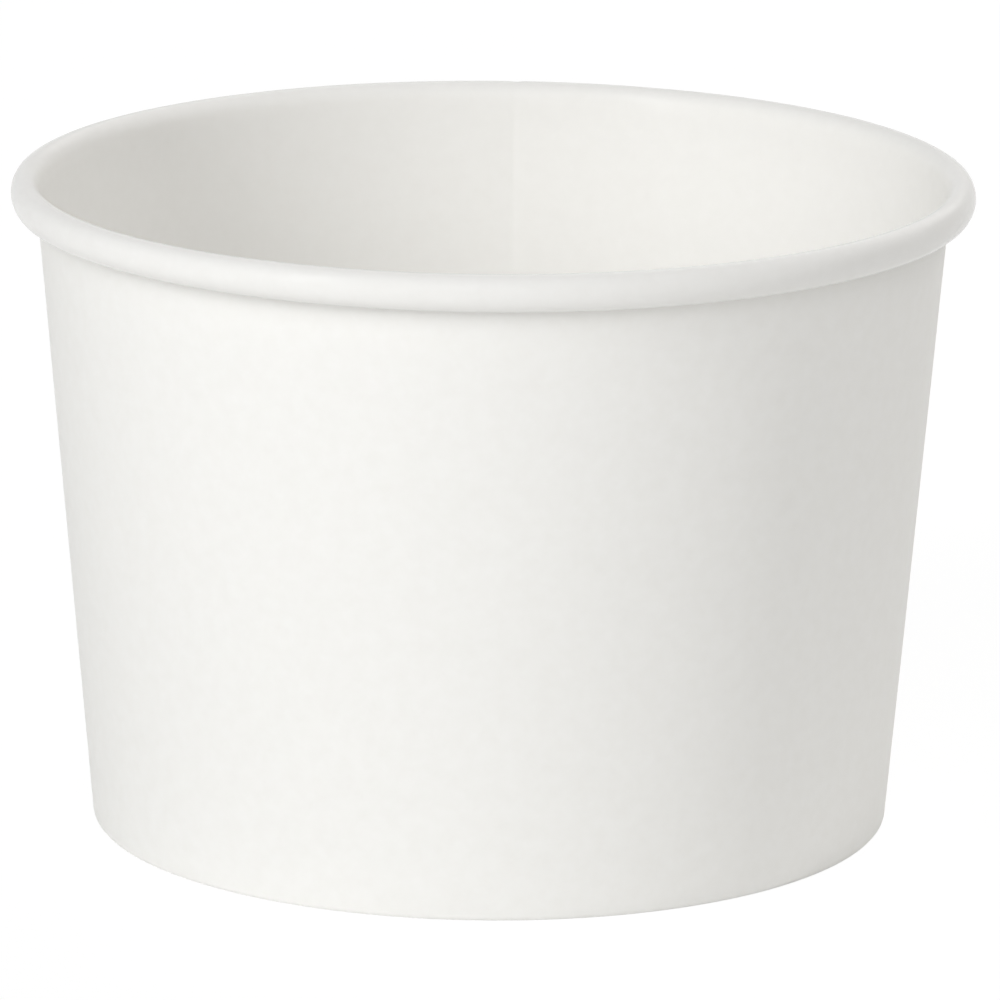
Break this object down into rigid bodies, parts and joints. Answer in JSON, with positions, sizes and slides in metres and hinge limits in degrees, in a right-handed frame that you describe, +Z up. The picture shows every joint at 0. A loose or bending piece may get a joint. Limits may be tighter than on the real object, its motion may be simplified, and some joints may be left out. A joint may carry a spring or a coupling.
{
  "type": "paper soup cup",
  "caption": "White paper soup cup: a tapered board wall with a lapped seam, a rolled rim that takes a lid, and a recessed bottom disc held in the folded foot.",
  "frame": {"origin": "centre of the foot ring, on the plane that the cup stands on", "axes": "+Z up along the cup's axis, -Y towards the picture's camera, with the side seam near +Y"},
  "size_m": [0.09, 0.09, 0.0615],
  "materials": {
    "side_board": "white coated board, matt outside, satin inside and on the rim",
    "disc_board": "white coated board, satin above, matt below"
  },
  "bodies": {
    "root": {"side_wall": "side_board", "bottom_disc": "disc_board"}
  },
  "joints": []
}
